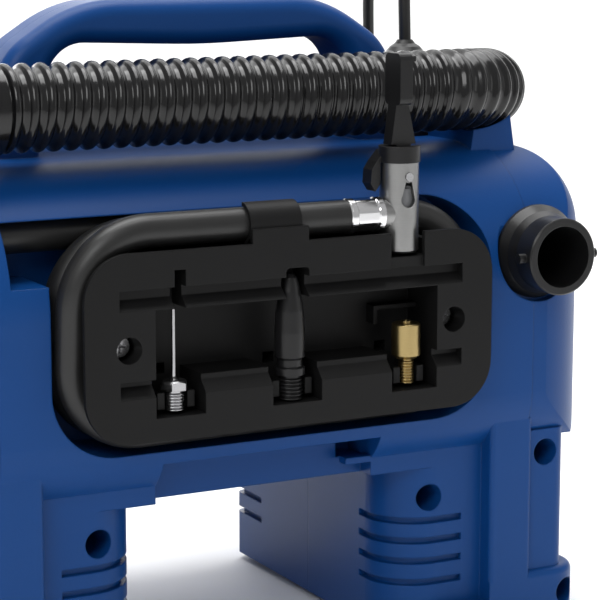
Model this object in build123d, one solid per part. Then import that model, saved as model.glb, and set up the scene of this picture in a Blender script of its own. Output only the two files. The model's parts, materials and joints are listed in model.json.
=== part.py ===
from build123d import *
import math
import os

os.makedirs("parts", exist_ok=True)

# Portable mains air inflator with a moulded two-leg body, a carry handle and rear storage.
# Millimetres. X runs along the body, -Y is the storage side, +Y is the control side, +Z is up.
# The origin lies on the surface that the feet stand on, midway between the legs.

# ---- body ----
BODY_W = 292.0            # over the rounded ends
BODY_D = 156.0            # over the flat rear and front faces
DECK_Z = 192.0            # flat top of the barrel
WALL = 3.0                # shell wall
BARREL_R = 50.0           # rounding from the deck to the flat faces
CREASE_X = 109.8          # line where the rounded ends begin
CREASE_STEP = 0.6         # the ends sit this much below the barrel
END_R = 36.2              # plan rounding of the ends
SHOULDER_R = 33.0         # top rounding of the ends
BAND_TOP = 97.0           # where the lower band starts to curve in
BAND_LOW = 76.0           # where the lower band meets the legs
BAND_IN = 10.0            # how far the band curves in
BRIDGE_Z = 69.0           # underside between the legs
SHELF_Z = 84.0            # inner floor over each leg
# ---- legs ----
LEG_IN = 52.0             # inner face of a leg
LEG_CORNER_R = 20.0       # rear inner corner of a leg
LEG_FRONT_R = 4.0
LEG_FACE_Y = BODY_D / 2 - BAND_IN
PILLAR_X0 = 93.0
PILLAR_Y = BODY_D / 2 - 2.5
COLUMN_X0 = 111.0
COLUMN_X1 = 130.0
COLUMN_Y = BODY_D / 2 - 5.5
COLUMN_TOP = 80.0
FLANGE_X1 = 138.0
FLANGE_TOP = 23.0
LEG_BOTTOM = 3.0
FOOT_R = 8.0
FOOT_SINK = 1.5
VENT_Z = [47.8, 39.7, 31.5, 22.9]
VENT_H = 2.6
VENT_X1 = 84.0
VENT_Y = 43.0             # the grooves run in from the faces to here
VENT_DEPTH = 2.2
SCREW_HOLE_R = 5.3
SCREW_SEAT_Y = -9.0      # floor of the deep screw holes
SCREW_END_Y = 10.0
SCREW_SPOTS = [(69.5, 57.0, LEG_FACE_Y), (120.0, 70.6, COLUMN_Y), (130.0, 12.5, PILLAR_Y)]
BOSS_WALL = 2.6
# ---- rear recess for the hose and the tray ----
RECESS_X = 90.3
RECESS_Z0 = 90.8
RECESS_Z1 = 175.7
RECESS_R = 25.0
RECESS_Y = -47.0
CHANNEL_X = -104.0
CHANNEL_Z0 = 153.8
# ---- bridge notch and slot ----
NOTCH_X0 = -47.0
NOTCH_X1 = 43.0
NOTCH_SLOT_X = 32.0
NOTCH_TOP = 85.7
NOTCH_Y = -60.0
SLOT_Y = -50.0
# ---- handle ----
HANDLE_D = 30.0
HANDLE_TOP = 249.5
HANDLE_UNDER = 234.0
HANDLE_EDGE_R = 6.0
HANDLE_WALL = 3.2
SADDLE_X0 = 100.0
SADDLE_X1 = 122.4
SADDLE_Y = 45.0
SADDLE_Z = 205.0
# ---- volume hose ----
VH_R = 16.0
VH_WALL = 2.2
VH_Y = 45.0
VH_Z = 213.3
VH_TILT = 4.6             # degrees; the far run lies lower than the near one
VH_TURN_X = 82.3
VH_CUFF_X = -97.0
VH_CUFF_L = 44.0
VH_CUFF_R = 16.6
# ---- pressure hose ----
PH_R = 6.0
PH_BEND = 27.0
PH_X = 82.3
PH_Z0 = 98.5
PH_Z1 = 169.2
PH_ZT = 172.0
PH_Y = [-55.0, -67.5, -81.0]
# ---- tray ----
TRAY_Y = -90.0
TRAY_X = 82.6
TRAY_Z0 = 98.0
TRAY_Z1 = 165.7
TRAY_T = 2.0
TRAY_R = 17.0
CORE_GAP = 0.6            # tray core to the hose wound round it
POCKET_Y = -68.0
POCKET_Z0 = 120.0
POCKET_Z1 = 145.0
POCKET_X0 = -56.0
POCKET_X1 = 58.7
SOCKET_Z = 106.4
GROOVE_X = 69.5
ACC_Y = -83.5             # axis of each stored accessory
NEEDLE_X = -46.4
NOZZLE_X = 0.0
ADAPTER_X = 49.0
TRAY_SCREW_X = 66.0
TRAY_SCREW_Z = 131.6
TRAY_SCREW_Y = TRAY_Y + 9.0     # top of the screw heads
BRACKET_Z = 136.2         # top of the bracket over the valve adapter
# ---- chuck ----
CHUCK_X = 47.0
CHUCK_Y = PH_Y[2]          # the chuck hangs on the end of the hose
CHUCK_R = 7.3
CHUCK_Z0 = 157.4
CHUCK_TOP = 191.0
VALVE_R = 4.0
VALVE_L = 10.0
PIN_Z = 186.0
PIN_R = 1.6
LEVER_TOP = 231.0
FERRULE_X0 = 24.0
FERRULE_X1 = 38.6
FERRULE_R = 6.5
# ---- air port ----
PORT_X = 113.0
PORT_Z = 152.0
PORT_Y = -92.5
PORT_R = 14.85
PORT_BORE = 11.75
PORT_FLANGE_R = 18.2
PORT_BED_R = 19.4
PORT_BED_Y = -73.5
PORT_END_Y = -45.0
# ---- control panel ----
PANEL_X = 92.0
PANEL_Z0 = 94.0
PANEL_Z1 = 139.0
PANEL_T = 3.5
PANEL_MID = 116.5
BUTTON_X = [12.0, 29.0, 46.0]
SWITCH_X = -74.0
KNOB_X = 71.0
BOARD_Y = 66.0
# ---- running fits ----
FIT = 0.05                # radial clearance of a shaft in its bore
GAP = 0.4                 # clearance between pieces that move past each other
# ---- compressor ----
CRANK_Y = -8.0
CRANK_Z = 148.0
MODULE = 0.8
GEAR_TEETH = 60
PINION_TEETH = 12
CENTRES = MODULE * (GEAR_TEETH + PINION_TEETH) / 2
MOTOR_Z = CRANK_Z - CENTRES
MOTOR_R = 25.0
GEAR_X0 = -104.0
GEAR_X1 = -97.0
FRAME_X0 = -92.5
FRAME_X1 = -89.0
CRANK_THROW = 5.0
CRANK_PIN_R = 3.0
ROD_X0 = -111.5
ROD_X1 = -106.0
PISTON_R = 11.9
PISTON_Y0 = 24.0
CYL_Y0 = 18.0
CYL_Y1 = 46.0
CYL_R = 14.5
ARM_R = 2.5
# ---- blower ----
BLOW_X0 = 98.0
BLOW_X1 = 128.0
BLOW_Y = 22.0
BLOW_Z = 130.5
BLOW_R = 42.0
# ---- power cord ----
CORD_R = 2.5
GLAND_X = 96.5
GLAND_R = 9.5
GLAND_TOP = 229.0


# ---------------------------------------------------------------- helpers
def xz(sketch, y0, y1):
    """Extrude a sketch drawn in X and Z from y0 to y1."""
    face = Plane(origin=(0, y1, 0), x_dir=(1, 0, 0), z_dir=(0, -1, 0)) * sketch
    return extrude(face, amount=y1 - y0, dir=(0, -1, 0))


def yz(sketch, x0, x1):
    """Extrude a sketch drawn in Y and Z from x0 to x1."""
    face = Plane(origin=(x0, 0, 0), x_dir=(0, 1, 0), z_dir=(1, 0, 0)) * sketch
    return extrude(face, amount=x1 - x0, dir=(1, 0, 0))


def xy(sketch, z0, z1):
    """Extrude a sketch drawn in X and Y from z0 to z1."""
    return extrude(Plane.XY.offset(z0) * sketch, amount=z1 - z0, dir=(0, 0, 1))


def block(x0, x1, y0, y1, z0, z1):
    return Pos((x0 + x1) / 2, (y0 + y1) / 2, (z0 + z1) / 2) * Box(x1 - x0, y1 - y0, z1 - z0)


def rounded(x0, x1, z0, z1, r):
    """A rounded rectangle in sketch coordinates."""
    return Pos((x0 + x1) / 2, (z0 + z1) / 2) * RectangleRounded(x1 - x0, z1 - z0, r)


def rod_x(r, x0, x1, y, z):
    return yz(Pos(y, z) * Circle(r), x0, x1)


def rod_y(r, y0, y1, x, z):
    return xz(Pos(x, z) * Circle(r), y0, y1)


def rod_z(r, z0, z1, x, y):
    return xy(Pos(x, y) * Circle(r), z0, z1)


def turned(points, x, y):
    """Turn an outline of (radius, height) points about the vertical line through x, y."""
    face = make_face(Polyline(*[(r, 0, z) for r, z in points], close=True))
    return Pos(x, y, 0) * revolve(face, axis=Axis.Z)


def turned_y(points, x, z):
    """Turn an outline of (radius, Y) points about the line along Y through x, z."""
    face = make_face(Polyline(*[(r, y, 0) for r, y in points], close=True))
    return Pos(x, 0, z) * revolve(face, axis=Axis.Y)


def tube(points, radii, r):
    """A round tube along straight runs joined by tangent arcs."""
    path = FilletPolyline(*points, radius=radii)
    start = Plane(origin=path @ 0, z_dir=path % 0)
    return sweep(start * Circle(r), path=path), path


def both_sides(shape):
    return shape + mirror(shape, about=Plane.YZ)


def save(shape, name):
    solids = shape.solids()
    item = solids[0] if len(solids) == 1 else Compound(children=list(solids))
    export_step(item, "parts/" + name + ".step")


# ---------------------------------------------------------------- body outlines
def side_outline():
    """The barrel seen from the end, in Y and Z."""
    half = BODY_D / 2
    low = half - BAND_IN
    drop = BAND_TOP - BAND_LOW
    band_r = (BAND_IN ** 2 + drop ** 2) / (2 * BAND_IN)
    turn = math.asin(drop / band_r)
    mid = (half - band_r + band_r * math.cos(turn / 2), BAND_TOP - band_r * math.sin(turn / 2))
    flat = half - BARREL_R
    spring = DECK_Z - BARREL_R
    diag = BARREL_R * math.sqrt(0.5)
    edges = []
    for s in (1, -1):
        edges.append(Line((0, BRIDGE_Z), (s * low, BRIDGE_Z)))
        edges.append(Line((s * low, BRIDGE_Z), (s * low, BAND_LOW)))
        edges.append(ThreePointArc((s * low, BAND_LOW), (s * mid[0], mid[1]), (s * half, BAND_TOP)))
        edges.append(Line((s * half, BAND_TOP), (s * half, spring)))
        top = (s * (flat + diag), spring + diag)
        edges.append(ThreePointArc((s * half, spring), top, (s * flat, DECK_Z)))
        edges.append(Line((s * flat, DECK_Z), (0, DECK_Z)))
    return make_face(edges)


def front_outline():
    """The rounded ends seen from the front, in X and Z, up past their top rounding."""
    half = BODY_W / 2
    drop = BAND_TOP - BAND_LOW
    end_r = drop + 6.0
    reach = math.sqrt(end_r ** 2 - drop ** 2)
    turn = math.asin(drop / end_r)
    mid = (half - end_r + end_r * math.cos(turn / 2), BAND_TOP - end_r * math.sin(turn / 2))
    low = (half - end_r + reach, BAND_LOW)
    top = DECK_Z + 20
    edges = [Line((-low[0], BAND_LOW), (low[0], BAND_LOW)), Line((-half, top), (half, top))]
    for s in (1, -1):
        edges.append(ThreePointArc((s * low[0], low[1]), (s * mid[0], mid[1]), (s * half, BAND_TOP)))
        edges.append(Line((s * half, BAND_TOP), (s * half, top)))
    return make_face(edges)


def end_block(inset):
    """The block that gives the ends their plan and their top rounding."""
    plan = RectangleRounded(BODY_W - 2 * inset, BODY_D - 2 * inset, END_R - inset)
    body = xy(plan, 0, DECK_Z - CREASE_STEP - inset)
    return fillet(body.faces().sort_by(Axis.Z)[-1].edges(), SHOULDER_R - inset)


def upper_body(inset):
    """The barrel with its rounded ends, made smaller all round by inset."""
    side = offset(side_outline(), -inset) if inset else side_outline()
    step = offset(side_outline(), -inset - CREASE_STEP)
    front = offset(front_outline(), -inset) if inset else front_outline()
    barrel = yz(side, -CREASE_X + inset / 2, CREASE_X - inset / 2)
    ends = yz(step, -BODY_W / 2, BODY_W / 2)
    ends = ends & xz(front, -BODY_D, BODY_D)
    return barrel + (ends & end_block(inset))


def leg_plan(inset, x1):
    """Plan of a leg, with a wide rounding at the rear inner corner and a small one at the front."""
    x0 = LEG_IN + inset
    y = LEG_FACE_Y - inset
    front_r = max(LEG_FRONT_R - inset, 1.0)
    return rounded(x0, x1, -y, 30, LEG_CORNER_R - inset) + rounded(x0, x1, -10, y, front_r)


def leg_outer():
    """The right leg: vent block, proud pillar, screw column and foot flange."""
    vent = xy(leg_plan(0, COLUMN_X0), LEG_BOTTOM, BAND_LOW)
    vent += block(PILLAR_X0 - 14, COLUMN_X0 - 2, -LEG_FACE_Y, LEG_FACE_Y, LEG_BOTTOM, BAND_LOW)
    pillar = xy(rounded(PILLAR_X0, COLUMN_X0 + 1, -PILLAR_Y, PILLAR_Y, 2.0), LEG_BOTTOM, SHELF_Z + 2)
    column = xy(rounded(COLUMN_X0 - 6, COLUMN_X1, -COLUMN_Y, COLUMN_Y, 5.0), LEG_BOTTOM, COLUMN_TOP)
    flange = xy(rounded(PILLAR_X0, FLANGE_X1, -PILLAR_Y, PILLAR_Y, 14.0), LEG_BOTTOM, FLANGE_TOP)
    flange += block(PILLAR_X0, COLUMN_X0, -PILLAR_Y, PILLAR_Y, LEG_BOTTOM, FLANGE_TOP)
    flange = fillet(flange.edges().filter_by_position(Axis.Z, FLANGE_TOP - 0.1, FLANGE_TOP + 0.1)
                    .filter_by_position(Axis.X, COLUMN_X1 - 4, FLANGE_X1 + 1), 3.0)
    sill = block(LEG_IN + LEG_CORNER_R, PILLAR_X0 + 2, -PILLAR_Y, PILLAR_Y, LEG_BOTTOM, LEG_BOTTOM + 10)
    sill += block(LEG_IN + 5, PILLAR_X0, -LEG_FACE_Y + 4, LEG_FACE_Y - 4, LEG_BOTTOM, LEG_BOTTOM + 10)
    return vent + pillar + column + flange + sill


def leg_cavity():
    inner = xy(leg_plan(WALL, COLUMN_X0), LEG_BOTTOM + WALL, SHELF_Z)
    inner += xy(rounded(COLUMN_X0 - 30, COLUMN_X1 - WALL, -LEG_FACE_Y + WALL, LEG_FACE_Y - WALL, 4.0),
                LEG_BOTTOM + WALL, SHELF_Z)
    return inner


def vent_grooves():
    """Grooves that wrap round the inner corners of the right leg."""
    ring_plan = leg_plan(-1, COLUMN_X0) - leg_plan(VENT_DEPTH, COLUMN_X0 + 9)
    cut = Part()
    for z in VENT_Z:
        ring = xy(ring_plan, z - VENT_H / 2, z + VENT_H / 2)
        for y0, y1 in ((-LEG_FACE_Y - 2, -VENT_Y), (VENT_Y, LEG_FACE_Y + 2)):
            cut += ring & block(LEG_IN - 2, VENT_X1, y0, y1, z - VENT_H, z + VENT_H)
    return cut


def saddle():
    pad = xz(Polygon((SADDLE_X0, DECK_Z - 8), (SADDLE_X1, DECK_Z - 12), (SADDLE_X1 - 4, SADDLE_Z),
                     (SADDLE_X0 + 3, SADDLE_Z), align=None), -SADDLE_Y, SADDLE_Y)
    return pad


def tilted(shape):
    """Turn the corrugated hose about its near run, so that its far run lies lower."""
    return shape.rotate(Axis((0, -VH_Y, VH_Z), (1, 0, 0)), -VH_TILT)


def hose_envelope(extra):
    r = VH_R + extra
    straight = rod_x(r, VH_CUFF_X - VH_CUFF_L - 4, VH_TURN_X, VH_Y, VH_Z)
    straight += rod_x(r, VH_CUFF_X - VH_CUFF_L - 4, VH_TURN_X, -VH_Y, VH_Z)
    for s in (1, -1):
        straight += rod_x(VH_CUFF_R + extra, VH_CUFF_X - VH_CUFF_L - 4, VH_CUFF_X + 1, s * VH_Y, VH_Z)
    bend = revolve(Plane.YZ.offset(VH_TURN_X) * Pos(VH_Y, VH_Z) * Circle(r),
                   axis=Axis((VH_TURN_X, 0, 0), (0, 0, -1)), revolution_arc=180)
    return tilted(straight + bend)


def handle_outline():
    """The arched grip seen from the front."""
    right = [(52, HANDLE_TOP), (82, 230), (89, DECK_Z - 4)]
    left = [(-x, z) for x, z in reversed(right)]
    inner = [(-68, DECK_Z - 4), (-62, HANDLE_UNDER), (0, HANDLE_UNDER - 2.4), (62, HANDLE_UNDER), (68, DECK_Z - 4)]
    face = make_face(Polyline(*(left + right), *reversed(inner), close=True))
    for x, z, r in ((52, HANDLE_TOP, 55), (82, 230, 24), (62, HANDLE_UNDER, 15), (0, HANDLE_UNDER - 2.4, 300)):
        near = [v for v in face.vertices() if abs(abs(v.X) - x) < 0.1 and abs(v.Y - z) < 0.1]
        face = fillet(near, r)
    return face


def handle_solid():
    bar = xz(handle_outline(), -HANDLE_D / 2, HANDLE_D / 2)
    rims = bar.edges().filter_by_position(Axis.Y, -HANDLE_D / 2 - 0.1, -HANDLE_D / 2 + 0.1)
    rims += bar.edges().filter_by_position(Axis.Y, HANDLE_D / 2 - 0.1, HANDLE_D / 2 + 0.1)
    low = [e for e in rims if e.bounding_box().max.Z < DECK_Z]
    return fillet([e for e in rims if e not in low], HANDLE_EDGE_R)


def handle_core():
    return xz(offset(handle_outline(), -HANDLE_WALL), -HANDLE_D / 2 + HANDLE_WALL, HANDLE_D / 2 - HANDLE_WALL)


def recess_outline(extra):
    return rounded(-RECESS_X - extra, RECESS_X + extra, RECESS_Z0 - extra, RECESS_Z1 + extra, RECESS_R + extra)


def recess(extra, y1):
    hole = xz(recess_outline(extra), -BODY_D, y1)
    channel = block(CHANNEL_X - extra, -RECESS_X + RECESS_R, -BODY_D, y1, CHANNEL_Z0 - extra, RECESS_Z1 + extra)
    return hole + channel


def notch(extra):
    """The cut-out under the rear band and the slot at its right end."""
    cut = block(NOTCH_X0 - extra, NOTCH_X1 + extra, -BODY_D, NOTCH_Y + extra, BRIDGE_Z - 10, NOTCH_TOP + extra)
    cut += block(NOTCH_SLOT_X - extra, NOTCH_X1 + extra, -BODY_D, SLOT_Y + extra, BAND_LOW - extra,
                 NOTCH_TOP + extra)
    return cut


def screw_spots():
    return [(s * x, z, y) for s in (1, -1) for x, z, y in SCREW_SPOTS]


def body_shell():
    """The whole hollow body before it is split into its two housings."""
    outer = upper_body(0) + both_sides(leg_outer()) + both_sides(saddle()) + handle_solid()
    hollow = upper_body(WALL) & block(-BODY_W, BODY_W, -BODY_D, BODY_D, SHELF_Z + WALL, DECK_Z)
    hollow -= recess(WALL, RECESS_Y + WALL)
    hollow -= notch(WALL)
    hollow -= rod_y(PORT_BED_R + WALL, -BODY_D, PORT_BED_Y + WALL, PORT_X, PORT_Z)
    hollow += both_sides(leg_cavity())
    for x, z, y in screw_spots():
        hollow -= rod_y(SCREW_HOLE_R + BOSS_WALL, -BODY_D, SCREW_END_Y + 3, x, z)
    for s in (1, -1):
        hollow -= rod_y(SCREW_HOLE_R + BOSS_WALL, RECESS_Y - 1, RECESS_Y + 12, s * TRAY_SCREW_X, TRAY_SCREW_Z)
    shell = outer - hollow
    shell -= handle_core()
    shell -= hose_envelope(0.3)
    shell -= both_sides(vent_grooves())
    shell -= recess(0, RECESS_Y)
    shell -= notch(0)
    for x, z, y in screw_spots():
        shell -= rod_y(SCREW_HOLE_R, -y - 5, SCREW_SEAT_Y, x, z)
        shell -= rod_y(1.7, SCREW_SEAT_Y - 1, SCREW_END_Y + 1, x, z)
    shell -= rod_y(PORT_BED_R, -BODY_D, PORT_BED_Y, PORT_X, PORT_Z)
    shell -= rod_y(PORT_R + 0.2, -BODY_D, PORT_END_Y + 1, PORT_X, PORT_Z)
    for s in (1, -1):
        shell -= rod_y(1.5, RECESS_Y - 5, RECESS_Y + 9, s * TRAY_SCREW_X, TRAY_SCREW_Z)
        for y in (-52, 52):
            shell -= rod_z(FOOT_R, 0, LEG_BOTTOM + FOOT_SINK, s * 75, y)
            shell -= rod_z(FOOT_R, 0, LEG_BOTTOM + FOOT_SINK, s * 116, y)
    shell -= rod_z(7.0, DECK_Z - 10, DECK_Z + 12, GLAND_X, 0)
    shell -= rod_z(GLAND_R + 2.6, DECK_Z, DECK_Z + 6.2, GLAND_X, 0)
    shell -= rod_z(GLAND_R + 0.6, DECK_Z, GLAND_TOP, GLAND_X, 0)
    return shell


def rear_housing(shell):
    half = shell & block(-200, 200, -BODY_D, 0, 0, 300)
    ledge = block(NOTCH_SLOT_X, NOTCH_X1 + 1, -LEG_FACE_Y, -LEG_FACE_Y + 5, BAND_LOW - 1.5, BAND_LOW + 1)
    half += ledge
    half -= rod_x(4.1, CHANNEL_X - WALL - 1, CHANNEL_X + 1, PH_Y[0], PH_Z1)
    return half


def front_housing(shell):
    half = shell & block(-200, 200, 0, BODY_D, 0, 300)
    half -= xz(rounded(-PANEL_X + 5, PANEL_X - 5, PANEL_Z0 + 5, PANEL_Z1 - 5, 5), 60, BODY_D)
    return half


# ---------------------------------------------------------------- tray and what it stores
def accessory_tray():
    plate = xz(rounded(-TRAY_X, TRAY_X, TRAY_Z0, TRAY_Z1, TRAY_R), TRAY_Y, TRAY_Y + TRAY_T)
    side = PH_X - PH_R - CORE_GAP
    low = PH_Z0 + PH_R + CORE_GAP
    high = PH_Z1 - PH_R - CORE_GAP
    back = RECESS_Y - 0.5
    core = xz(rounded(-side, side, low, high, PH_BEND - PH_R), TRAY_Y + 1, back)
    hollow = xz(rounded(-side + 2.5, side - 2.5, low + 2.5, high - 2.5, PH_BEND - PH_R - 2.5), -60, back)
    tray = plate + core - hollow
    for s in (1, -1):
        tray += rod_y(7.4, TRAY_Y + 1, back, s * TRAY_SCREW_X, TRAY_SCREW_Z)
        tray -= rod_y(4.8, TRAY_Y - 1, TRAY_SCREW_Y + 3.0, s * TRAY_SCREW_X, TRAY_SCREW_Z)
        tray -= rod_y(1.9, TRAY_Y - 1, back + 1, s * TRAY_SCREW_X, TRAY_SCREW_Z)
    tray -= block(POCKET_X0, POCKET_X1, TRAY_Y - 1, POCKET_Y, POCKET_Z0, POCKET_Z1)
    for x0, x1 in ((POCKET_X0, NEEDLE_X + 9.6), (NOZZLE_X - 10, NOZZLE_X + 10), (ADAPTER_X - 9.6, POCKET_X1)):
        tray -= block(x0, x1, TRAY_Y - 1, POCKET_Y, SOCKET_Z, POCKET_Z0 + 1)
    # sloping grooves above and below the pocket
    wedge_up = Polygon((TRAY_Y - 1, 152.7), (TRAY_Y + 4, 152.7), (TRAY_Y + 4, 149), (TRAY_Y - 1, 144.5), align=None)
    wedge_low = Polygon((TRAY_Y - 1, 120.4), (TRAY_Y + 4, 120.4), (TRAY_Y + 4, 118), (TRAY_Y - 1, 113), align=None)
    tray -= yz(wedge_up, -GROOVE_X, GROOVE_X)
    tray -= yz(wedge_low, -GROOVE_X, GROOVE_X)
    tray -= block(NEEDLE_X - 2.2, NEEDLE_X + 2.2, TRAY_Y - 1, TRAY_Y + 12, POCKET_Z1 - 1, 158.7)
    tray -= xz(rounded(NOZZLE_X - 4.7, NOZZLE_X + 4.7, POCKET_Z1 - 6, 156, 1.5), TRAY_Y - 1, TRAY_Y + 13)
    reach = CHUCK_R + 0.9
    tray -= block(CHUCK_X - reach, CHUCK_X + reach, TRAY_Y + TRAY_T, CHUCK_Y + reach, CHUCK_Z0 - 0.9, TRAY_Z1 + 1)
    tray -= block(CHUCK_X - 8.3, CHUCK_X + 6.0, TRAY_Y - 1, TRAY_Y + TRAY_T + 1, CHUCK_Z0 - 0.9, TRAY_Z1 + 1)
    tray -= block(CHUCK_X - 8.3, CHUCK_X + 6.0, TRAY_Y - 1, TRAY_Y + 1.4, 152.6, CHUCK_Z0)
    tray -= block(FERRULE_X0 - 1, CHUCK_X + 12, TRAY_Y + TRAY_T, CHUCK_Y + 9, CHUCK_Z0 + 5, TRAY_Z1 + 1)
    # clip that curls over the hose
    ring = Circle(PH_R + 1.8) - Circle(PH_R + 0.4)
    mouth = Pos(8, 2) * Rectangle(16, 30) + Pos(4, -8) * Rectangle(12, 12)
    clip = yz(Pos(CHUCK_Y, PH_ZT) * (ring - mouth), -18, 2.5)
    foot = block(-18, 4.5, TRAY_Y, TRAY_Y + TRAY_T, TRAY_Z1 - 6, PH_ZT - 1) - rod_x(PH_R + 0.4, -30, 30, CHUCK_Y, PH_ZT)
    tray += clip + foot
    # side posts that grip each thread
    for cx, r in ((NEEDLE_X, 4.1), (NOZZLE_X, 4.9), (ADAPTER_X, 3.3)):
        for s in (1, -1):
            x0 = cx + s * (r + 0.35)
            x1 = x0 + s * 2.8
            tray += block(min(x0, x1), max(x0, x1), ACC_Y - 2, POCKET_Y + 1, SOCKET_Z + 2, SOCKET_Z + 8)
    # bracket over the valve adapter
    tray += block(ADAPTER_X - 8.5, POCKET_X1 + 0.5, POCKET_Y - 6, POCKET_Y + 1, BRACKET_Z - 1.6, BRACKET_Z)
    tray += block(ADAPTER_X - 8.5, ADAPTER_X - 6.9, POCKET_Y - 6, POCKET_Y + 1, BRACKET_Z - 7, BRACKET_Z)
    for cx in (NEEDLE_X + 1, NOZZLE_X - 1, ADAPTER_X - 2.5):
        tray -= block(cx - 2.3, cx + 2.3, POCKET_Y - 1, RECESS_Y, 117.5, 121.5)
    return tray


def screw(head_r, head_h, shank_r, length, cross):
    """A pan-head screw along +Y with its head's top at the origin."""
    body = xz(Circle(head_r), 0, head_h) + xz(Circle(shank_r), head_h, length)
    body = body - block(-cross, cross, -0.1, 1.4, -0.45, 0.45) - block(-0.45, 0.45, -0.1, 1.4, -cross, cross)
    return body


def tray_screws():
    length = RECESS_Y + 6.5 - TRAY_SCREW_Y
    shape = Part()
    for s in (1, -1):
        shape += Pos(s * TRAY_SCREW_X, TRAY_SCREW_Y, TRAY_SCREW_Z) * screw(3.9, 3.0, 1.45, length, 2.4)
    return shape


def case_screws():
    shape = Part()
    for x, z, y in screw_spots():
        top = SCREW_SEAT_Y - 3.0
        shape += Pos(x, top, z) * screw(4.2, 3.0, 1.65, SCREW_END_Y - top, 2.5)
    return shape


def thread(r, root, z0, z1, pitch, x, y):
    """Rings along a stem, one per thread turn."""
    count = int((z1 - z0) / pitch)
    points = [(0, z0), (root, z0)]
    for i in range(count):
        z = z0 + i * pitch
        points += [(r, z + pitch * 0.35), (r, z + pitch * 0.6), (root, z + pitch * 0.98)]
    points += [(root, z1), (0, z1)]
    return turned(points, x, y)


def ball_needle():
    base = SOCKET_Z + 1.0
    shape = thread(3.85, 3.2, base, base + 7.5, 1.1, NEEDLE_X, ACC_Y)
    head = xy(Pos(NEEDLE_X, ACC_Y) * RegularPolygon(5.3, 6), base + 7.5, base + 11)
    shape += head & turned([(0, base + 7), (5.3, base + 7), (5.3, base + 10), (4.2, base + 11), (0, base + 11)],
                           NEEDLE_X, ACC_Y)
    shape += turned([(0, base + 10.9), (2.2, base + 10.9), (0.72, base + 12.2), (0.72, base + 36.4),
                     (0.5, base + 37.2), (0, base + 37.2)], NEEDLE_X, ACC_Y)
    return shape


def taper_nozzle():
    base = SOCKET_Z + 0.2
    z = base
    shape = thread(4.7, 4.0, z, z + 9.5, 1.4, NOZZLE_X, ACC_Y)
    shape += turned([(0, z + 9.4), (5.6, z + 9.4), (5.6, z + 12), (4.6, z + 12.6), (4.6, z + 15), (5.5, z + 16),
                     (5.6, z + 25), (5.1, z + 33), (4.0, z + 40), (2.8, z + 45), (1.9, z + 46.5), (0, z + 46.5)],
                    NOZZLE_X, ACC_Y)
    return shape - rod_z(1.0, z - 1, z + 50, NOZZLE_X, ACC_Y)


def valve_adapter():
    base = SOCKET_Z + 1.4
    z = base
    shape = thread(3.0, 2.4, z, z + 9.5, 1.1, ADAPTER_X, ACC_Y)
    shape += turned([(0, z + 9.4), (3.6, z + 9.4), (5.4, z + 10.8), (5.4, z + 22.4), (4.9, z + 22.9), (0, z + 22.9)],
                    ADAPTER_X, ACC_Y)
    shape += turned([(0, z + 22.8), (2.0, z + 22.8), (2.0, z + 23.7), (0, z + 23.7)], ADAPTER_X, ACC_Y)
    return shape - rod_z(0.9, z - 1, z + 30, ADAPTER_X, ACC_Y)


# ---------------------------------------------------------------- pressure hose and chuck
def pressure_hose():
    a, b, c = PH_Y
    points = [(CHANNEL_X, a, PH_Z1), (PH_X, a, PH_Z1), (PH_X, a - 2.5, PH_Z0), (-PH_X, a - 6, PH_Z0),
              (-PH_X, b, PH_Z1), (PH_X, b, PH_Z1), (PH_X, b - 2.5, PH_Z0), (-PH_X, b - 6.5, PH_Z0),
              (-PH_X, c, PH_ZT), (FERRULE_X0, c, PH_ZT)]
    solid, path = tube(points, [PH_BEND] * (len(points) - 2), PH_R)
    print("pressure hose length", round(path.length), "volume ratio",
          round(solid.volume / (path.length * math.pi * PH_R ** 2), 4))
    return solid


def hose_gland():
    """Brass union through the end wall of the channel."""
    y, z = PH_Y[0], PH_Z1
    shape = yz(Pos(y, z) * RegularPolygon(6.4, 6), CHANNEL_X - WALL - 5, CHANNEL_X - WALL)
    shape += rod_x(3.9, CHANNEL_X - WALL - 9, CHANNEL_X, y, z)
    return shape - rod_x(1.8, CHANNEL_X - WALL - 10, CHANNEL_X + 1, y, z)


def hose_ferrule():
    shape = rod_x(FERRULE_R, FERRULE_X0, FERRULE_X1, CHUCK_Y, PH_ZT)
    flats = yz(Pos(CHUCK_Y, PH_ZT) * RegularPolygon(FERRULE_R + 0.35, 8), FERRULE_X0 + 2.5, FERRULE_X1 - 2.5)
    ends = rod_x(FERRULE_R, FERRULE_X0, FERRULE_X0 + 2.5, CHUCK_Y, PH_ZT)
    ends += rod_x(FERRULE_R, FERRULE_X1 - 2.5, FERRULE_X1, CHUCK_Y, PH_ZT)
    shape = (shape & flats) + ends
    return shape - rod_x(2.0, FERRULE_X0 - 1, FERRULE_X1 + 1, CHUCK_Y, PH_ZT)


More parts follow.
